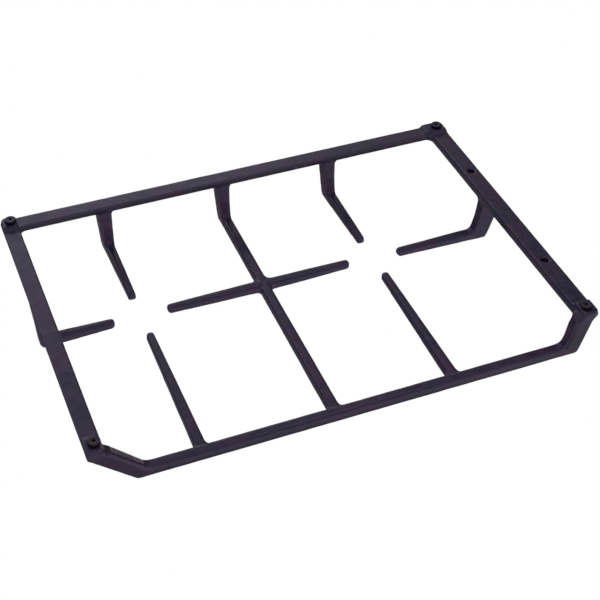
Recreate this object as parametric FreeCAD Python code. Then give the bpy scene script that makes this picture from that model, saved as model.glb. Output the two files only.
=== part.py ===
import FreeCAD, Part
import math
import os

# Cast-iron pan support for two gas burners, with four push-in rubber feet.
# Millimetres.  X runs along the long side, +Z is up, the feet stand on Z = 0 and the
# origin is the centre of the footprint.  Pans rest on the flat top of the fingers.
# The long side at +Y has no low bar: a raised bar at pan level joins its two corners.

# --- overall size -----------------------------------------------------------------
LENGTH = 475.5
WIDTH = 324.5
PAN_Z = 61.0

# --- low frame: three flat bars standing just clear of the hob ----------------------
BAR_Z = 7.0
BAR_THICK = 9.0
LEFT_BAR_W = 15.4
RIGHT_BAR_W = 16.8
FRONT_BAR_W = 17.0
FRONT_BAR_TOP_W = 12.2
BAR_DRAFT = 0.9
BAR_EDGE = 0.9
FRONT_CORNER_R = 5.5
REAR_CORNER_R = 2.6
RIGHT_REAR_TOP_R = 7.0
CORNER_INNER_R = 7.0
BAR_END_R = 1.5

# --- corner pads and rubber feet ----------------------------------------------------
PAD_Z = 3.5
PAD_ALONG_SIDE = 18.0
PAD_ALONG_FRONT = 23.0
PAD_RAMP = 2.8
PAD_EDGE = 0.8
PAD_INSET = 0.7
FOOT_INSET = 9.25
FOOT_D = 11.0
FOOT_EDGE = 0.9
FOOT_UNDERCUT = 1.2
FOOT_DIMPLE_D = 2.6
FOOT_DIMPLE_DEPTH = 0.9
STEM_D = 6.0
STEM_LENGTH = 7.5
STEM_EDGE = 0.6
SOCKET_D = 6.1
SOCKET_DEPTH = 8.0

# --- locating holes, drilled up into the underside of the right bar ------------------
HOLE_D = 8.0
HOLE_DEPTH = 6.0
HOLE_PITCH = 151.5
HOLE_MID_Y = 2.25
HOLE_EDGE_INSET = 8.5
HOLE_CHAMFER = 0.8

# --- burners and the fingers round them ---------------------------------------------
BURNER_X = (-136.5, 104.7)
MID_BAR_X = -12.25
ARM_Y = -35.9
LEFT_FINGER_Y = -35.5
RIGHT_FINGER_Y = -34.8
FRONT_TIP_GAP = 27.4
REAR_TIP_GAP = 28.0
SIDE_TIP_GAP = 26.5
FINGER_W = 10.1
FINGER_UNDER_W = 7.9
FINGER_ROOT_EXTRA = 1.1
FINGER_DEPTH = 9.0
UNDER_R = 2.3
TOP_R = 1.0

# --- finger tips: thinner and narrower, falling a little below the pans ----------------
TIP_W = 7.5
TIP_UNDER_W = 6.3
TIP_RISE = 0.7
TIP_FALL = 1.2
TIP_CAP = 2.2
TIP_CAP_RISE = 1.0
TIP_CAP_FALL = 1.5
TIP_CAP_IN = 1.2
TIP_R = 1.4
TIP_CAP_R = 0.9

# --- legs that climb from the low bars: distance in from the edge of each face ----------
FRONT_LEG = {"in_root": 12.0, "in_elbow": 17.0, "out_root": 0.8, "out_mid": 2.8, "out_elbow": 5.5}
LEFT_LEG = {"in_root": 15.0, "in_elbow": 17.0, "out_root": 0.8, "out_mid": 2.0, "out_elbow": 3.0}
RIGHT_LEG = {"in_root": 16.2, "in_elbow": 21.7, "out_root": 0.8, "out_mid": 2.1, "out_elbow": 7.3}
LEG_ROOT_W = 12.9
LEG_MID_W = 11.1
LEG_DRAFT = 1.5
LEG_FLARE = 2.0
LEG_FLARE_RISE = 3.5
LEG_MID_Z = 36.0
LEG_MID_SHARE = 0.45
ELBOW_IN = 5.5
ELBOW_OUT = 7.0
ELBOW_DROP = 5.0
# Shares at the middle section of the bend: run covered, drop left under and over the finger,
# draft left; and how far the hob side has narrowed there and at the end of the bend.
BEND_RUN = 0.3
BEND_UNDER = 0.3
BEND_OVER = 0.15
BEND_DRAFT = 0.3
BEND_NARROW = 0.3
BEND_END_NARROW = 0.8
ELBOW_DRAFT = 0.6

# --- raised bar at the +Y side --------------------------------------------------------
RAISED_DEPTH = 11.0
RAISED_W = 9.9
RAISED_LEG_W = 11.4
RAISED_UNDER_R = 1.8
RAISED_EDGE_R = 1.2
FACET_IN = 1.9
FACET_R = 4.0
BAR_FACET = 0.45
BEND_FACET = 0.30
LEG_FACET = 0.16
RAISED_TOP_R = 1.3
LEAN_START_Z = 14.0
LEAN_AT_PAN = 9.2

# --- hollow fillets in the plan corners, at pan level and beside the steep leg ------------
WEB_R = 4.2
WEB_BURY = 1.5
WEB_RISE = 1.4
WEB_FALL = 0.6

HALF_L = LENGTH / 2
HALF_W = WIDTH / 2
HALF_FINGER = FINGER_W / 2
HALF_UNDER = FINGER_UNDER_W / 2
UNDER_Z = PAN_Z - FINGER_DEPTH
RAISED_UNDER_Z = PAN_Z - RAISED_DEPTH
BAR_TOP_Z = BAR_Z + BAR_THICK

# Stations along the raised bar and its two corner legs.  Each gives the (distance in from
# the end, z) of the edge nearer the hob, the same for the outer edge, the thickness, and the
# share of the outer face, on its hob side, that is a sloping facet.
LEFT_CORNER_LEG = (
    ((14.8, BAR_Z + 0.8), (0.9, BAR_Z + 4.4), RAISED_LEG_W, LEG_FACET),
    ((20.4, BAR_Z + 5.0), (4.3, BAR_Z + 9.6), RAISED_LEG_W, LEG_FACET),
    ((48.6, RAISED_UNDER_Z - 3.7), (39.6, PAN_Z - 2.6), RAISED_W, LEG_FACET),
    ((52.6, RAISED_UNDER_Z - 0.9), (41.6, PAN_Z - 0.5), RAISED_W, BEND_FACET),
    ((57.0, RAISED_UNDER_Z), (44.5, PAN_Z), RAISED_W, BAR_FACET),
    ((62.0, RAISED_UNDER_Z), (60.0, PAN_Z), RAISED_W, BAR_FACET),
)
RIGHT_CORNER_LEG = (
    ((34.0, RAISED_UNDER_Z), (32.0, PAN_Z), RAISED_W, BAR_FACET),
    ((29.2, RAISED_UNDER_Z - 0.2), (12.0, PAN_Z), RAISED_W, BEND_FACET),
    ((26.2, RAISED_UNDER_Z - 1.5), (9.4, PAN_Z - 0.4), RAISED_W, BEND_FACET),
    ((24.4, RAISED_UNDER_Z - 4.4), (8.2, PAN_Z - 2.2), RAISED_W, LEG_FACET),
    ((23.5, RAISED_UNDER_Z - 12.0), (7.6, PAN_Z - 10.0), RAISED_W, LEG_FACET),
    ((22.8, BAR_TOP_Z + 5.0), (5.6, BAR_TOP_Z + 2.0), RAISED_LEG_W, LEG_FACET),
    ((21.8, BAR_TOP_Z - 2.5), (5.0, BAR_TOP_Z - 4.0), RAISED_LEG_W, LEG_FACET),
    ((17.6, BAR_Z + 1.0), (3.6, BAR_Z + 0.4), RAISED_LEG_W, LEG_FACET),
    ((14.5, PAD_Z + 0.9), (2.9, PAD_Z + 0.7), RAISED_LEG_W, LEG_FACET),
)


def vec(x, y, z=0.0):
    """Short name for a FreeCAD vector."""
    return FreeCAD.Vector(x, y, z)


def between(start, end, share):
    """Value part of the way from start to end."""
    return start + (end - start) * share


def rounded_loop(points, radii):
    """Closed flat wire through the points, each corner turned into an arc of its radius."""
    count = len(points)
    arcs = []
    for i in range(count):
        here = points[i]
        back = (points[i - 1] - here).normalize()
        ahead = (points[(i + 1) % count] - here).normalize()
        half = back.getAngle(ahead) / 2
        reach = radii[i] / math.tan(half)
        bisector = (back + ahead).normalize()
        middle = here + bisector * (radii[i] / math.sin(half) - radii[i])
        arcs.append((here + back * reach, middle, here + ahead * reach))
    edges = []
    for i in range(count):
        start, middle, end = arcs[i]
        following = arcs[(i + 1) % count][0]
        edges.append(Part.Arc(start, middle, end).toShape())
        edges.append(Part.LineSegment(end, following).toShape())
    return Part.Wire(edges)


def loft(wires):
    """Solid with straight sides between neighbouring wires."""
    return Part.makeLoft(wires, True, True)


def station(place, inner, outer, half_in, half_out, radii=(UNDER_R, TOP_R)):
    """Cross-section of a finger or leg.

    place(u, v, z) turns local coordinates into the part's frame; inner and outer are the
    (u, z) ends of the section on the hob side and on the pan side.
    """
    corners = [
        place(inner[0], -half_in, inner[1]),
        place(inner[0], half_in, inner[1]),
        place(outer[0], half_out, outer[1]),
        place(outer[0], -half_out, outer[1]),
    ]
    return rounded_loop(corners, (radii[0], radii[0], radii[1], radii[1]))


def from_front(x):
    """Local frame of a finger starting at the low front bar: u runs along +Y."""
    return lambda u, v, z: vec(x + v, -HALF_W + u, z)


def from_raised(x):
    """Local frame of a finger starting at the raised bar: u runs along -Y."""
    return lambda u, v, z: vec(x + v, HALF_W - u, z)


def from_side(sign, y):
    """Local frame of a finger starting at a side bar: u runs inwards along X."""
    return lambda u, v, z: vec(sign * (HALF_L - u), y + v, z)


def from_mid(sign):
    """Local frame of an arm of the middle bar: u runs outwards along X."""
    return lambda u, v, z: vec(MID_BAR_X + sign * u, ARM_Y + v, z)


def tip_stations(place, reach):
    """Last two sections of a finger: full tip, then a smaller closing section."""
    half_in, half_out = TIP_UNDER_W / 2, TIP_W / 2
    cap = reach - TIP_CAP
    low, high = UNDER_Z + TIP_RISE, PAN_Z - TIP_FALL
    return [
        station(place, (cap, low), (cap, high), half_in, half_out, (TIP_R, TIP_CAP_R)),
        station(place, (reach, low + TIP_CAP_RISE), (reach, high - TIP_CAP_FALL),
                half_in - TIP_CAP_IN, half_out - TIP_CAP_IN, (TIP_CAP_R, TIP_CAP_R)),
    ]


def leg_stations(place, leg):
    """Sections of a leg that rises from a low bar and bends over at pan level."""
    root = LEG_ROOT_W / 2
    mid = LEG_MID_W / 2
    flare = root + LEG_FLARE
    low, top = BAR_Z + BAR_EDGE, BAR_TOP_Z
    high = top + LEG_FLARE_RISE
    in_root, in_elbow = leg["in_root"], leg["in_elbow"]
    out_root, out_elbow = leg["out_root"], leg["out_elbow"]
    in_mid = between(in_root, in_elbow, LEG_MID_SHARE)
    bend_in = (in_elbow + ELBOW_IN * BEND_RUN, UNDER_Z - ELBOW_DROP * BEND_UNDER)
    bend_out = (out_elbow + ELBOW_OUT * BEND_RUN, PAN_Z - ELBOW_DROP * BEND_OVER)
    end_in = (in_elbow + ELBOW_IN, UNDER_Z)
    end_out = (out_elbow + ELBOW_OUT, PAN_Z)
    return [
        station(place, (in_root, low), (out_root, low), flare, flare + LEG_DRAFT),
        station(place, (in_root, top), (out_root, top), flare, flare + LEG_DRAFT),
        station(place, (in_root, high), (out_root, high), root, root + LEG_DRAFT),
        station(place, (in_mid, LEG_MID_Z), (leg["out_mid"], LEG_MID_Z), mid, mid + LEG_DRAFT),
        station(place, (in_elbow, UNDER_Z - ELBOW_DROP), (out_elbow, PAN_Z - ELBOW_DROP),
                HALF_FINGER, HALF_FINGER + LEG_DRAFT * ELBOW_DRAFT),
        station(place, bend_in, bend_out,
                between(HALF_FINGER, HALF_UNDER, BEND_NARROW), HALF_FINGER + LEG_DRAFT * BEND_DRAFT),
        station(place, end_in, end_out,
                between(HALF_FINGER, HALF_UNDER, BEND_END_NARROW), HALF_FINGER),
    ]


def full_station(place, u, extra=0.0):
    """Plain section of a finger at its full depth, wider by extra."""
    wider = extra / 2
    return station(place, (u, UNDER_Z), (u, PAN_Z), HALF_UNDER + wider, HALF_FINGER + wider)


def front_finger(x):
    """Finger that climbs from the front bar and points at a burner."""
    place = from_front(x)
    reach = HALF_W + ARM_Y - FRONT_TIP_GAP
    return loft(leg_stations(place, FRONT_LEG) + tip_stations(place, reach))


def middle_bar():
    """Bar that climbs from the front bar and runs straight on to the raised bar."""
    place = from_front(MID_BAR_X)
    end = WIDTH - LEAN_AT_PAN - RAISED_W / 2
    return loft(leg_stations(place, FRONT_LEG) + [full_station(place, end, FINGER_ROOT_EXTRA)])


def raised_finger(x):
    """Finger that starts at the raised bar and points at a burner."""
    place = from_raised(x)
    start = LEAN_AT_PAN + RAISED_W / 2
    reach = HALF_W - ARM_Y - REAR_TIP_GAP
    return loft([full_station(place, start, FINGER_ROOT_EXTRA)] + tip_stations(place, reach))


def side_finger(sign, y, leg, burner):
    """Finger that climbs from a side bar and points at the burner on its side."""
    place = from_side(sign, y)
    reach = HALF_L - abs(burner) - SIDE_TIP_GAP
    return loft(leg_stations(place, leg) + tip_stations(place, reach))


def cross_arm(sign, burner):
    """Arm of the middle bar, pointing at the burner on its side."""
    place = from_mid(sign)
    reach = abs(burner - MID_BAR_X) - SIDE_TIP_GAP
    return loft([full_station(place, 0.0)] + tip_stations(place, reach))


def lean(z):
    """How far the raised bar's outer face has moved in from the edge at height z."""
    return LEAN_AT_PAN * max(0.0, z - LEAN_START_Z) / (PAN_Z - LEAN_START_Z)


def raised_section(sign, inner, outer, thickness, facet):
    """Cross-section of the raised bar or a corner leg, on the side that sign gives."""
    middle = (between(inner[0], outer[0], facet), between(inner[1], outer[1], facet))
    corners = []
    for (inset, z), across in (
        (inner, FACET_IN),
        (inner, thickness),
        (outer, thickness),
        (outer, 0.0),
        (middle, 0.0),
    ):
        corners.append(vec(sign * (HALF_L - inset), HALF_W - lean(z) - across, z))
    radii = (RAISED_EDGE_R, RAISED_UNDER_R, RAISED_TOP_R, RAISED_TOP_R, FACET_R)
    return rounded_loop(corners, radii)


def raised_bar():
    """Raised bar with its two corner legs: a long slope on the left, a steep leg on the right."""
    sections = [raised_section(-1, *stop) for stop in LEFT_CORNER_LEG]
    sections += [raised_section(1, *stop) for stop in RIGHT_CORNER_LEG]
    return loft(sections)


def u_outline(outer, side, front_w, z, right_rear_r):
    """Outline of the low frame at height z, open at +Y; side is added to the side bars' width."""
    left_w, right_w = LEFT_BAR_W + side, RIGHT_BAR_W + side
    x0, x1 = -HALF_L + outer, HALF_L - outer
    y0, y1 = -HALF_W + outer, HALF_W - outer
    points = [
        vec(x0, y0, z),
        vec(x1, y0, z),
        vec(x1, y1, z),
        vec(HALF_L - right_w, y1, z),
        vec(HALF_L - right_w, -HALF_W + front_w, z),
        vec(-HALF_L + left_w, -HALF_W + front_w, z),
        vec(-HALF_L + left_w, y1, z),
        vec(x0, y1, z),
    ]
    front, inside = FRONT_CORNER_R, CORNER_INNER_R
    radii = (front, front, right_rear_r, BAR_END_R, inside, inside, BAR_END_R, REAR_CORNER_R)
    return rounded_loop(points, radii)


def low_frame():
    """Three flat bars in one piece, with softened edges and the casting draft."""
    edge = BAR_EDGE
    slope = (FRONT_BAR_W - FRONT_BAR_TOP_W) / BAR_THICK
    return loft([
        u_outline(edge, -edge, FRONT_BAR_W - edge, BAR_Z, REAR_CORNER_R),
        u_outline(0.0, 0.0, FRONT_BAR_W - slope * edge, BAR_Z + edge, REAR_CORNER_R),
        u_outline(BAR_DRAFT, 0.0, FRONT_BAR_TOP_W + slope * edge, BAR_TOP_Z - edge, RIGHT_REAR_TOP_R),
        u_outline(BAR_DRAFT + edge, -edge, FRONT_BAR_TOP_W - edge, BAR_TOP_Z, RIGHT_REAR_TOP_R),
    ])


def pad_block(sign_x, sign_y, along_x, along_y):
    """Raised pad under one corner, tapering up to the bars over a short ramp."""
    levels = (
        (PAD_Z, 0.0, PAD_INSET + PAD_EDGE),
        (PAD_Z + PAD_EDGE, PAD_EDGE, PAD_INSET),
        (BAR_Z - PAD_EDGE, PAD_RAMP - PAD_EDGE, PAD_INSET),
        (BAR_Z + PAD_EDGE, PAD_RAMP + PAD_EDGE, 0.0),
    )
    corner_r = FRONT_CORNER_R if sign_y < 0 else REAR_CORNER_R
    wires = []
    for z, spread, inset in levels:
        spread_x = spread if along_x > RIGHT_BAR_W else 0.0
        spread_y = spread if along_y > FRONT_BAR_W else 0.0
        x0 = sign_x * (HALF_L - inset)
        x1 = sign_x * (HALF_L - along_x - spread_x + inset)
        y0 = sign_y * (HALF_W - inset)
        y1 = sign_y * (HALF_W - along_y - spread_y + inset)
        points = [vec(x0, y0, z), vec(x1, y0, z), vec(x1, y1, z), vec(x0, y1, z)]
        wires.append(rounded_loop(points, (corner_r, BAR_END_R, BAR_END_R, BAR_END_R)))
    return loft(wires)


def pads():
    """Pads under the four corners; the front right one also runs along the front bar."""
    blocks = []
    for sign_x, bar_w in ((-1, LEFT_BAR_W), (1, RIGHT_BAR_W)):
        for sign_y in (-1, 1):
            blocks.append(pad_block(sign_x, sign_y, bar_w - PAD_EDGE, PAD_ALONG_SIDE))
    blocks.append(pad_block(1, -1, PAD_ALONG_FRONT, FRONT_BAR_W - PAD_EDGE))
    return blocks


def web(x, y, sign_x, sign_y, low=UNDER_Z + WEB_RISE, high=PAN_Z - WEB_FALL):
    """Hollow fillet in the plan corner where two bars meet, between two heights."""
    sweep = WEB_R * (1 - math.sqrt(0.5))
    corner = vec(x - sign_x * WEB_BURY, y - sign_y * WEB_BURY, low)
    along_x = vec(x + sign_x * WEB_R, y - sign_y * WEB_BURY, low)
    tangent_x = vec(x + sign_x * WEB_R, y, low)
    middle = vec(x + sign_x * sweep, y + sign_y * sweep, low)
    tangent_y = vec(x, y + sign_y * WEB_R, low)
    along_y = vec(x - sign_x * WEB_BURY, y + sign_y * WEB_R, low)
    edges = [
        Part.LineSegment(corner, along_x).toShape(),
        Part.LineSegment(along_x, tangent_x).toShape(),
        Part.Arc(tangent_x, middle, tangent_y).toShape(),
        Part.LineSegment(tangent_y, along_y).toShape(),
        Part.LineSegment(along_y, corner).toShape(),
    ]
    return Part.Face(Part.Wire(edges)).extrude(vec(0, 0, high - low))


def webs():
    """Hollow fillets at the crossing, where fingers leave the raised bar, and by its steep leg."""
    raised_face = HALF_W - LEAN_AT_PAN - RAISED_W
    leg_face = HALF_W - RAISED_LEG_W
    pieces = [web(HALF_L - RIGHT_BAR_W, leg_face, -1, -1, BAR_Z + WEB_RISE, BAR_TOP_Z - WEB_FALL)]
    for sign_x in (-1, 1):
        for sign_y in (-1, 1):
            x = MID_BAR_X + sign_x * HALF_FINGER
            y = ARM_Y + sign_y * HALF_FINGER
            pieces.append(web(x, y, sign_x, sign_y))
        for x in BURNER_X + (MID_BAR_X,):
            pieces.append(web(x + sign_x * HALF_FINGER, raised_face, sign_x, -1))
    return pieces


def foot_spots():
    """Centres of the four feet, by the corner they stand under."""
    x, y = HALF_L - FOOT_INSET, HALF_W - FOOT_INSET
    return {
        "front_left": (-x, -y),
        "front_right": (x, -y),
        "rear_right": (x, y),
        "rear_left": (-x, y),
    }


def hole_spots():
    """Centres of the two locating holes."""
    x = HALF_L - HOLE_EDGE_INSET
    return [(x, HOLE_MID_Y + sign * HOLE_PITCH / 2) for sign in (-1, 1)]


def cut_tools():
    """Sockets for the feet and the drilled locating holes with their broken edges."""
    tools = []
    for x, y in foot_spots().values():
        tools.append(Part.makeCylinder(SOCKET_D / 2, SOCKET_DEPTH, vec(x, y, PAD_Z)))
    for x, y in hole_spots():
        radius = HOLE_D / 2
        mouth = vec(x, y, BAR_Z)
        tools.append(Part.makeCylinder(radius, HOLE_DEPTH, mouth))
        tools.append(Part.makeCone(radius + HOLE_CHAMFER, radius, HOLE_CHAMFER, mouth))
    return tools


def casting():
    """The whole pan support as one casting."""
    left, right = BURNER_X
    limbs = [front_finger(x) for x in BURNER_X]
    limbs += [raised_finger(x) for x in BURNER_X]
    limbs.append(side_finger(-1, LEFT_FINGER_Y, LEFT_LEG, left))
    limbs.append(side_finger(1, RIGHT_FINGER_Y, RIGHT_LEG, right))
    limbs += [cross_arm(-1, left), cross_arm(1, right)]
    limbs += [middle_bar(), raised_bar()]
    body = low_frame().multiFuse(limbs + pads() + webs())
    return body.cut(cut_tools()).removeSplitter()


def foot(x, y):
    """Rubber foot: round button, shallow dimple underneath, stem pressed up into its socket."""
    radius = FOOT_D / 2
    dimple = FOOT_DIMPLE_D / 2
    stem = STEM_D / 2
    stem_top = PAD_Z + STEM_LENGTH
    points = [
        vec(0, 0, FOOT_DIMPLE_DEPTH),
        vec(dimple / 2, 0, FOOT_DIMPLE_DEPTH),
        vec(dimple, 0, 0),
        vec(radius - FOOT_EDGE, 0, 0),
        vec(radius, 0, FOOT_EDGE),
        vec(radius, 0, PAD_Z - FOOT_EDGE),
        vec(radius - FOOT_UNDERCUT, 0, PAD_Z),
        vec(stem, 0, PAD_Z),
        vec(stem, 0, stem_top - STEM_EDGE),
        vec(stem - STEM_EDGE, 0, stem_top),
        vec(0, 0, stem_top),
    ]
    profile = Part.Face(Part.makePolygon(points + points[:1]))
    solid = profile.revolve(vec(0, 0, 0), vec(0, 0, 1), 360)
    solid.translate(vec(x, y, 0))
    return solid


def main():
    """Write one STEP file per piece."""
    os.makedirs("parts", exist_ok=True)
    casting().exportStep("parts/pan_support_casting.step")
    for name, (x, y) in foot_spots().items():
        foot(x, y).exportStep("parts/rubber_foot_" + name + ".step")


main()
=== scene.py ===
import math

import bmesh
import bpy
from mathutils import Matrix, Vector, noise


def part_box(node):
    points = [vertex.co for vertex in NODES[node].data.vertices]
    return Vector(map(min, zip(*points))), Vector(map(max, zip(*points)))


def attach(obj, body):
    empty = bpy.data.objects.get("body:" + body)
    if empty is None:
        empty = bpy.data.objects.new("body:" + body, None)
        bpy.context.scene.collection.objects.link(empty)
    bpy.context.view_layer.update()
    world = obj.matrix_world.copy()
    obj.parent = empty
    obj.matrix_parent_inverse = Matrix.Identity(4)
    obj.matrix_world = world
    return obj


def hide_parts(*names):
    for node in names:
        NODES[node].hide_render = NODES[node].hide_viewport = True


# Looks of the gas hob pan support.  Metres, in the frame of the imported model: the feet stand
# on z = 0 and pans rest on top.  The camera looks at the support from below and behind, so
# that its feet and its low bars face the viewer.

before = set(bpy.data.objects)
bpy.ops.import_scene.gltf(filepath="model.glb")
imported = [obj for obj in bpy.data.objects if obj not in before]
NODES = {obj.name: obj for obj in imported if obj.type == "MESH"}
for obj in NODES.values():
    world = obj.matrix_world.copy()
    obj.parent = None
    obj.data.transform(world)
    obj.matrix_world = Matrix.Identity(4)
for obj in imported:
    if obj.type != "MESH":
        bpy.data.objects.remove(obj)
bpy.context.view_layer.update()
MM = 0.001

# --- camera ------------------------------------------------------------------------
CAMERA_AT = Vector((-0.34777, 0.86946, -0.78968))
CAMERA_AZIMUTH = math.radians(-157.525)
CAMERA_ELEVATION = math.radians(-41.873)
CAMERA_ROLL = math.radians(-179.001)
CAMERA_REACH = (0.05, 20.0)
SENSOR = 36.0
LENS = 78.73

# --- casting: welded, rebuilt from voxels, its edges softened, its skin made uneven ------------
CASTING = "pan_support_casting"
WELD = 0.002 * MM
VOXEL = 0.80 * MM
SMOOTH_STEPS = (0.5, 0.5, -0.50, 0.5, 0.5, -0.50)
SMOOTH_ROUNDS = 2
KEPT_SHARE = 0.46
WAVE_SIZE = 16.0 * MM
WAVE_HEIGHT = 0.10 * MM
WAVE_OCTAVES = 3
GROW = 0.30 * MM

# --- feet: a turned body with a rounded lip and a dimple, and a stem up into the casting ---------
FOOT_NODES = sorted(name for name in NODES if name.startswith("rubber_foot_"))
FOOT_SIDES = 72
LIP = 0.9 * MM
LIP_STEPS = 6
LIP_MARGIN = 0.5 * MM
DIMPLE = 1.5 * MM
DIMPLE_MARGIN = 0.35 * MM
# Faces within this reach of the foot's middle carry the painted shade of the dimple.
DIMPLE_SHADE_REACH = 1.6 * MM
STEM = 3.0 * MM
STEM_CHAMFER = 0.6 * MM
BODY_OVERLAP = 0.15 * MM
# Dimple from its middle out, as (share of its radius, depth); shoulder from the side up to the
# casting, as (how far it stands in, share of the body's height).
DIMPLE_CURVE = ((0.0, 0.85 * MM), (0.55, 0.80 * MM), (0.85, 0.45 * MM), (1.0, 0.12 * MM))
SHOULDER_CURVE = ((0.0, 0.62), (0.25 * MM, 0.72), (0.9 * MM, 0.84), (0.9 * MM, 1.0))

# --- enamel: sizes of its features, and colours as stops of (noise value, colour) ----------------
CLOUD_SIZE = 34 * MM
CLOUD_STOPS = ((0.40, (0.0060, 0.0125, 0.0260)), (0.60, (0.0330, 0.0100, 0.0330)))
MOTTLE_SIZE = 9 * MM
MOTTLE_STOPS = ((0.38, (0.0090, 0.0070, 0.0160)), (0.64, (0.0270, 0.0200, 0.0400)))
MOTTLE_SHARE = 0.4
PIT_SIZE = 5.0 * MM
PIT_DEPTH = 0.11 * MM
GRAIN_SIZE = 1.4 * MM
GRAIN_DEPTH = 0.030 * MM
# Convex edges lighter by pointiness: partly worn thin enamel, partly a painted highlight along the edges.
WORN_EDGE_AND_HIGHLIGHT = (0.048, 0.040, 0.060)
WORN_AND_HIGHLIGHT_POINTINESS = (0.515, 0.57)
ENAMEL_ROUGHNESS = (0.28, 0.44)
ENAMEL_SPECULAR = 0.47
ENAMEL_TINT = (0.73, 0.59, 0.99, 1.0)

# --- rubber: a dusty mottle where it faces the ground, painted shade round its side and in its dimple ---
# The slope pair gives the z of the normal up to which a face keeps its underside colour, and that at which
# the painted shade of the side is full.
DUST_SIZE = 3 * MM
DUST_STOPS = ((0.35, (0.0100, 0.0085, 0.0145)), (0.70, (0.0210, 0.0175, 0.0290)))
SIDE_SHADE_SLOPE = (-0.9, -0.4)
# Painted shade of the foot's side: near black, with less gloss than the underside.
SIDE_SHADE_COLOUR = (0.0025, 0.0020, 0.0035)
SIDE_SHADE_SPECULAR = 0.10
UNDER_SPECULAR = 0.42
RUBBER_ROUGHNESS = (0.42, 0.58)
RUBBER_TINT = (0.80, 0.70, 1.0, 1.0)
RUBBER_GRAIN_SIZE = 0.5 * MM
RUBBER_GRAIN_DEPTH = 0.03 * MM
# Dimple under a foot: painted shade in the recess, near black with little gloss.
DIMPLE_SHADE_COLOUR = (0.0015, 0.0012, 0.0020, 1.0)
DIMPLE_ROUGHNESS = 0.8
DIMPLE_SPECULAR = 0.05

# --- studio: brightness of the surroundings as (share of the way, level) -----------------------
# FAR and NEAR go up the sky on the side away from the camera and on its own side; ACROSS goes
# over x from -1 to 1 and dims the far side.
SKY_FAR = ((0.0, 0.25), (0.12, 0.20), (0.17, 0.58), (0.21, 2.05), (0.28, 2.60), (0.36, 1.00), (0.43, 0.24),
           (0.56, 0.16), (0.66, 0.24), (0.74, 0.18), (0.82, 0.38), (0.90, 0.26), (1.0, 0.12))
SKY_NEAR = ((0.0, 0.60), (0.15, 0.80), (0.36, 0.75), (0.50, 0.26), (0.60, 0.45), (0.70, 1.25), (0.83, 0.98),
            (0.92, 0.34), (1.0, 0.12))
SKY_ACROSS = ((0.0, 0.64), (0.29, 0.64), (0.38, 1.0), (0.60, 1.0), (0.64, 0.86), (0.675, 0.34), (0.72, 0.20),
              (1.0, 0.20))
SKY_TOP = 2.5
SKY_JOIN = (-0.10, 0.25)
WHITE = (1.0, 1.0, 1.0, 1.0)

# --- floor: distances from the middle at which it starts and ends fading to white --------------
FLOOR_SIZE = 6.0
FLOOR_FADE = (0.35, 1.10)
FLOOR_COLOUR = (0.86, 0.86, 0.86, 1.0)
FLOOR_ROUGHNESS = 0.9

# --- lights: name, place, point aimed at, side of the square, watts, whether gloss shows it ------
MIDDLE = (0.0, 0.0, 0.03)
RAISED_BAR = (-0.20, 0.155, 0.02)
LIGHTS = (("edge_below", (0.39, -0.36, -1.32), MIDDLE, 0.30, 2.0, True),
          ("strip_side", (0.70, -0.90, 0.56), RAISED_BAR, 0.50, 0.8, True),
          ("key_above", (1.0, -0.9, 1.5), MIDDLE, 1.0, 34.0, False),
          ("fill_above", (-0.9, 0.3, 1.7), MIDDLE, 1.4, 9.0, False))


def new_object(name, data):
    """Object of that mesh, light or camera in the scene."""
    obj = bpy.data.objects.new(name, data)
    bpy.context.scene.collection.objects.link(obj)
    return obj


def shade_smooth(mesh):
    """Smooth shading on every face."""
    for polygon in mesh.polygons:
        polygon.use_smooth = True


def applied(obj, name):
    """New mesh: obj with its modifiers worked in."""
    graph = bpy.context.evaluated_depsgraph_get()
    mesh = bpy.data.meshes.new_from_object(obj.evaluated_get(graph))
    mesh.name = name
    return mesh


# --- node helpers: owner is a material or a world ------------------------------------------
def new_material(name):
    """Empty material with its output node and a Principled shader joined up."""
    material = bpy.data.materials.new(name)
    material.use_nodes = True
    nodes = material.node_tree.nodes
    nodes.clear()
    output = nodes.new("ShaderNodeOutputMaterial")
    shader = nodes.new("ShaderNodeBsdfPrincipled")
    material.node_tree.links.new(shader.outputs["BSDF"], output.inputs["Surface"])
    return material, shader


def noise_node(material, size, detail=4.0, roughness=0.5):
    """Noise over the object's own space with features of that size; gives its value socket."""
    nodes, links = material.node_tree.nodes, material.node_tree.links
    place = nodes.new("ShaderNodeTexCoord")
    texture = nodes.new("ShaderNodeTexNoise")
    texture.inputs["Scale"].default_value = 1.0 / size
    texture.inputs["Detail"].default_value = detail
    texture.inputs["Roughness"].default_value = roughness
    links.new(place.outputs["Object"], texture.inputs["Vector"])
    return texture.outputs["Fac"]


def ramp(owner, value, stops):
    """Colour ramp over value; stops are (position, colour) in rising order."""
    node = owner.node_tree.nodes.new("ShaderNodeValToRGB")
    owner.node_tree.links.new(value, node.inputs["Fac"])
    elements = node.color_ramp.elements
    for element, (position, colour) in ((elements[0], stops[0]), (elements[1], stops[-1])):
        element.position = position
        element.color = (*colour, 1.0)
    for position, colour in stops[1:-1]:
        elements.new(position).color = (*colour, 1.0)
    return node.outputs["Color"]


def spread(owner, value, low, high, start=0.3, end=0.7):
    """Value between start and end spread over low to high."""
    node = owner.node_tree.nodes.new("ShaderNodeMapRange")
    owner.node_tree.links.new(value, node.inputs["Value"])
    node.inputs["From Min"].default_value = start
    node.inputs["From Max"].default_value = end
    node.inputs["To Min"].default_value = low
    node.inputs["To Max"].default_value = high
    return node.outputs["Result"]


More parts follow.
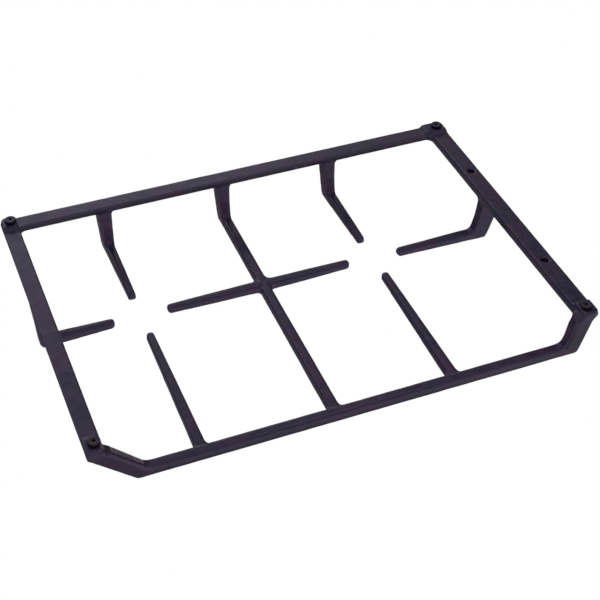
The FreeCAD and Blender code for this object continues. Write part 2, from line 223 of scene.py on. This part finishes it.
def mixed(owner, share, first, second, kind="MIX"):
    """Colour mix by share, a socket or a number, of two colours, each a socket or a tuple."""
    node = owner.node_tree.nodes.new("ShaderNodeMix")
    node.data_type = "RGBA"
    node.blend_type = kind
    links = owner.node_tree.links
    if isinstance(share, float):
        node.inputs["Factor"].default_value = share
    else:
        links.new(share, node.inputs["Factor"])
    # The node has a pair of inputs and an output for each data type: these are the colour ones.
    for socket, source in ((node.inputs[6], first), (node.inputs[7], second)):
        if isinstance(source, tuple):
            socket.default_value = (*source, 1.0)
        else:
            links.new(source, socket)
    return node.outputs[2]


def bump(material, shader, layers):
    """Stack of bumps on the shader; layers are (height socket, depth in metres)."""
    nodes, links = material.node_tree.nodes, material.node_tree.links
    below = None
    for height, depth in layers:
        node = nodes.new("ShaderNodeBump")
        node.inputs["Distance"].default_value = depth
        links.new(height, node.inputs["Height"])
        if below is not None:
            links.new(below, node.inputs["Normal"])
        below = node.outputs["Normal"]
    links.new(below, shader.inputs["Normal"])


# --- materials ---------------------------------------------------------------------------
def enamelled_iron():
    """Satin enamel, nearly black with a violet cast, over sand-cast iron."""
    material, shader = new_material("enamelled_iron")
    links = material.node_tree.links
    cloud = noise_node(material, CLOUD_SIZE)
    mottle = noise_node(material, MOTTLE_SIZE, roughness=0.6)
    grain = noise_node(material, GRAIN_SIZE, detail=3.0)
    pits = noise_node(material, PIT_SIZE, detail=2.0)
    base = ramp(material, cloud, CLOUD_STOPS)
    patch = ramp(material, mottle, MOTTLE_STOPS)
    colour = mixed(material, MOTTLE_SHARE, base, patch)
    geometry = material.node_tree.nodes.new("ShaderNodeNewGeometry")
    # Convex edges made lighter: worn thin enamel and a painted highlight along them.
    worn_and_highlight_edge = spread(material, geometry.outputs["Pointiness"], 0.0, 1.0, *WORN_AND_HIGHLIGHT_POINTINESS)
    links.new(mixed(material, worn_and_highlight_edge, colour, WORN_EDGE_AND_HIGHLIGHT), shader.inputs["Base Color"])
    links.new(spread(material, mottle, *ENAMEL_ROUGHNESS), shader.inputs["Roughness"])
    shader.inputs["Specular IOR Level"].default_value = ENAMEL_SPECULAR
    shader.inputs["Specular Tint"].default_value = ENAMEL_TINT
    bump(material, shader, [(pits, PIT_DEPTH), (grain, GRAIN_DEPTH)])
    return material


def black_rubber():
    """Satin black moulded rubber: a dusty mottle underneath where it stands, painted shade round its side.
    """
    material, shader = new_material("rubber")
    nodes, links = material.node_tree.nodes, material.node_tree.links
    bloom = noise_node(material, DUST_SIZE)
    grain = noise_node(material, RUBBER_GRAIN_SIZE, detail=3.0)
    dusty = ramp(material, bloom, DUST_STOPS)
    split = nodes.new("ShaderNodeSeparateXYZ")
    links.new(nodes.new("ShaderNodeNewGeometry").outputs["Normal"], split.inputs["Vector"])
    # Faces turned from the ground get a painted shade: near black and with less gloss.
    unshaded_underside = spread(material, split.outputs["Z"], 1.0, 0.0, *SIDE_SHADE_SLOPE)
    gloss = spread(material, unshaded_underside, SIDE_SHADE_SPECULAR, UNDER_SPECULAR, 0.0, 1.0)
    links.new(mixed(material, unshaded_underside, SIDE_SHADE_COLOUR, dusty), shader.inputs["Base Color"])
    links.new(spread(material, bloom, *RUBBER_ROUGHNESS), shader.inputs["Roughness"])
    links.new(gloss, shader.inputs["Specular IOR Level"])
    shader.inputs["Specular Tint"].default_value = RUBBER_TINT
    bump(material, shader, [(grain, RUBBER_GRAIN_DEPTH)])
    return material


def dimple_shade_material():
    """Painted shade in the dimple under a foot: near black, rough and with little gloss."""
    material, shader = new_material("rubber_dimple_shade")
    shader.inputs["Base Color"].default_value = DIMPLE_SHADE_COLOUR
    shader.inputs["Roughness"].default_value = DIMPLE_ROUGHNESS
    shader.inputs["Specular IOR Level"].default_value = DIMPLE_SPECULAR
    return material


def floor_material():
    """Pale matt floor seen only from above, fading into the white surroundings farther out."""
    material, shader = new_material("studio_floor")
    nodes, links = material.node_tree.nodes, material.node_tree.links
    shader.inputs["Base Color"].default_value = FLOOR_COLOUR
    shader.inputs["Roughness"].default_value = FLOOR_ROUGHNESS
    geometry = nodes.new("ShaderNodeNewGeometry")
    reach = nodes.new("ShaderNodeVectorMath")
    reach.operation = "LENGTH"
    links.new(geometry.outputs["Position"], reach.inputs[0])
    white = nodes.new("ShaderNodeEmission")
    white.inputs["Color"].default_value = WHITE
    faded = nodes.new("ShaderNodeMixShader")
    links.new(spread(material, reach.outputs["Value"], 0.0, 1.0, *FLOOR_FADE), faded.inputs["Fac"])
    links.new(shader.outputs["BSDF"], faded.inputs[1])
    links.new(white.outputs["Emission"], faded.inputs[2])
    clear = nodes.new("ShaderNodeBsdfTransparent")
    one_sided = nodes.new("ShaderNodeMixShader")
    links.new(geometry.outputs["Backfacing"], one_sided.inputs["Fac"])
    links.new(faded.outputs["Shader"], one_sided.inputs[1])
    links.new(clear.outputs["BSDF"], one_sided.inputs[2])
    output = next(node for node in nodes if node.type == "OUTPUT_MATERIAL")
    links.new(one_sided.outputs["Shader"], output.inputs["Surface"])
    return material


# --- pieces ----------------------------------------------------------------------------
def soft_casting():
    """Mesh of the casting welded, rebuilt from voxels and with soft cast edges."""
    mesh = NODES[CASTING].data.copy()
    body = bmesh.new()
    body.from_mesh(mesh)
    bmesh.ops.remove_doubles(body, verts=body.verts, dist=WELD)
    body.to_mesh(mesh)
    body.free()
    rough = new_object("casting_rough", mesh)
    remesh = rough.modifiers.new("voxels", "REMESH")
    remesh.mode = "VOXEL"
    remesh.voxel_size = VOXEL
    remesh.use_smooth_shade = True
    for step, factor in enumerate(SMOOTH_STEPS):
        smooth = rough.modifiers.new("soft_edges_" + str(step), "SMOOTH")
        smooth.factor = factor
        smooth.iterations = SMOOTH_ROUNDS
    soft = applied(rough, "casting_soft")
    bpy.data.objects.remove(rough)
    return soft


def make_wavy(mesh):
    """Moves every vertex out along its normal, a little more in some places than in others."""
    places = [(vertex.co.copy(), vertex.normal.copy()) for vertex in mesh.vertices]
    for vertex, (place, normal) in zip(mesh.vertices, places):
        wave = noise.fractal(place / WAVE_SIZE, 1.0, 2.0, WAVE_OCTAVES)
        vertex.co = place + normal * (GROW + wave * WAVE_HEIGHT)


def build_casting(material):
    """The casting with soft cast edges and a faintly uneven skin."""
    mesh = soft_casting()
    make_wavy(mesh)
    dense = new_object("casting_dense", mesh)
    fewer = dense.modifiers.new("fewer_faces", "DECIMATE")
    fewer.ratio = KEPT_SHARE
    skin = applied(dense, "enamelled_casting")
    bpy.data.objects.remove(dense)
    shade_smooth(skin)
    skin.materials.clear()
    skin.materials.append(material)
    piece = new_object("enamelled_casting", skin)
    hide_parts(CASTING)
    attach(piece, "root")


def foot_profile(radius, body_height, top):
    """(radius, height) points of one foot: dimple, lip, side, shoulder and stem, ending on top."""
    points = [(DIMPLE * share, depth) for share, depth in DIMPLE_CURVE]
    points += [(DIMPLE + DIMPLE_MARGIN, 0.0), (radius - LIP - LIP_MARGIN, 0.0)]
    for step in range(LIP_STEPS + 1):
        turn = math.radians(90.0 * step / LIP_STEPS)
        points.append((radius - LIP + LIP * math.sin(turn), LIP - LIP * math.cos(turn)))
    points += [(radius - inset, body_height * share) for inset, share in SHOULDER_CURVE]
    points += [(STEM, body_height), (STEM, top - STEM_CHAMFER), (STEM - STEM_CHAMFER, top), (0.0, top)]
    return points


def turned_body(centre, profile):
    """Solid of that profile turned about the upright line through centre, as a bmesh."""
    body = bmesh.new()
    rings = []
    for reach, height in profile:
        ring = []
        for side in range(FOOT_SIDES if reach > 0.0 else 1):
            turn = 2 * math.pi * side / FOOT_SIDES
            across = (centre.x + reach * math.cos(turn), centre.y + reach * math.sin(turn))
            ring.append(body.verts.new((*across, height)))
        rings.append(ring)
    for first, second in zip(rings, rings[1:]):
        for side in range(FOOT_SIDES):
            ahead = (side + 1) % FOOT_SIDES
            if len(first) == 1:
                body.faces.new((first[0], second[ahead], second[side]))
            elif len(second) == 1:
                body.faces.new((first[side], first[ahead], second[0]))
            else:
                body.faces.new((first[side], first[ahead], second[ahead], second[side]))
    bmesh.ops.recalc_face_normals(body, faces=body.faces)
    return body


def build_foot(name, material, dimple_shade):
    """One rubber foot turned about its own axis, with its stem up in the casting."""
    low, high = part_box(name)
    centre = (low + high) / 2
    body_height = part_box(CASTING)[0].z - low.z + BODY_OVERLAP
    body = turned_body(centre, foot_profile((high.x - low.x) / 2, body_height, high.z))
    mesh = bpy.data.meshes.new(name.replace("rubber_foot", "foot"))
    body.to_mesh(mesh)
    body.free()
    shade_smooth(mesh)
    mesh.materials.append(material)
    mesh.materials.append(dimple_shade)
    # Faces round the middle of the dimple get its painted shade.
    for polygon in mesh.polygons:
        reach = (polygon.center - Vector((centre.x, centre.y, 0.0))).length
        polygon.material_index = 1 if reach < DIMPLE_SHADE_REACH else 0
    piece = new_object(name.replace("rubber_foot", "foot"), mesh)
    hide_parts(name)
    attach(piece, "root")


# --- studio --------------------------------------------------------------------------------
def build_floor():
    """Large pale floor that only cameras above it see."""
    mesh = bpy.data.meshes.new("studio_floor")
    size = FLOOR_SIZE
    corners = [(-size, -size, 0.0), (size, -size, 0.0), (size, size, 0.0), (-size, size, 0.0)]
    mesh.from_pydata(corners, [], [(0, 1, 2, 3)])
    mesh.materials.append(floor_material())
    floor = new_object("studio_floor", mesh)
    floor.visible_diffuse = False
    floor.visible_glossy = False
    floor.visible_transmission = False
    floor.visible_shadow = False


def build_light(name, place, aim, size, power, mirrored):
    """Square soft box at place, aimed at a point; mirrored says whether gloss picks it up."""
    light = bpy.data.lights.new(name, "AREA")
    light.shape = "SQUARE"
    light.size = size
    light.energy = power
    lamp = new_object(name, light)
    lamp.location = place
    lamp.rotation_mode = "QUATERNION"
    lamp.rotation_quaternion = (Vector(aim) - Vector(place)).to_track_quat("-Z", "Y")
    lamp.visible_camera = False
    lamp.visible_glossy = mirrored


def sky_bands(world, share, bands, top):
    """Grey level of the surroundings over share, as a colour socket; a level of top gives 1."""
    return ramp(world, share, [(place, (level / top,) * 3) for place, level in bands])


def build_world():
    """White surroundings: full white behind the object, uneven studio light on it.

    The side away from the camera and that towards it each have their own bands of light by
    height, and the far side is dimmer at both ends of the x axis.
    """
    world = bpy.data.worlds.new("studio")
    bpy.context.scene.world = world
    world.use_nodes = True
    nodes, links = world.node_tree.nodes, world.node_tree.links
    nodes.clear()
    output = nodes.new("ShaderNodeOutputWorld")
    seen = nodes.new("ShaderNodeBackground")
    lit = nodes.new("ShaderNodeBackground")
    seen.inputs["Strength"].default_value = 1.0
    seen.inputs["Color"].default_value = WHITE
    place = nodes.new("ShaderNodeTexCoord")
    split = nodes.new("ShaderNodeSeparateXYZ")
    links.new(place.outputs["Generated"], split.inputs["Vector"])
    height = spread(world, split.outputs["Z"], 0.0, 1.0, -1.0, 1.0)
    side = spread(world, split.outputs["Y"], 0.0, 1.0, *SKY_JOIN)
    across = spread(world, split.outputs["X"], 0.0, 1.0, -1.0, 1.0)
    tilt = sky_bands(world, across, SKY_ACROSS, 1.0)
    far = mixed(world, 1.0, sky_bands(world, height, SKY_FAR, SKY_TOP), tilt, kind="MULTIPLY")
    bands = mixed(world, side, far, sky_bands(world, height, SKY_NEAR, SKY_TOP))
    links.new(bands, lit.inputs["Color"])
    lit.inputs["Strength"].default_value = SKY_TOP
    path = nodes.new("ShaderNodeLightPath")
    mix = nodes.new("ShaderNodeMixShader")
    links.new(path.outputs["Is Camera Ray"], mix.inputs["Fac"])
    links.new(lit.outputs["Background"], mix.inputs[1])
    links.new(seen.outputs["Background"], mix.inputs[2])
    links.new(mix.outputs["Shader"], output.inputs["Surface"])


def build_camera():
    """Camera at its place below and behind, looking up at the underside of the support."""
    data = bpy.data.cameras.new("camera")
    data.sensor_width = SENSOR
    data.lens = LENS
    data.clip_start, data.clip_end = CAMERA_REACH
    camera = new_object("camera", data)
    level = math.cos(CAMERA_ELEVATION)
    back = Vector((math.sin(CAMERA_AZIMUTH) * level, -math.cos(CAMERA_AZIMUTH) * level,
                   math.sin(CAMERA_ELEVATION)))
    turn = (-back).to_track_quat("-Z", "Y").to_matrix().to_4x4()
    camera.matrix_world = Matrix.Translation(CAMERA_AT) @ turn @ Matrix.Rotation(CAMERA_ROLL, 4, "Z")
    bpy.context.scene.camera = camera


build_camera()
build_world()
build_floor()
for light_settings in LIGHTS:
    build_light(*light_settings)
bpy.context.scene.view_settings.view_transform = "Standard"

enamel = enamelled_iron()
rubber = black_rubber()
dimple = dimple_shade_material()
build_casting(enamel)
for foot_node in FOOT_NODES:
    build_foot(foot_node, rubber, dimple)
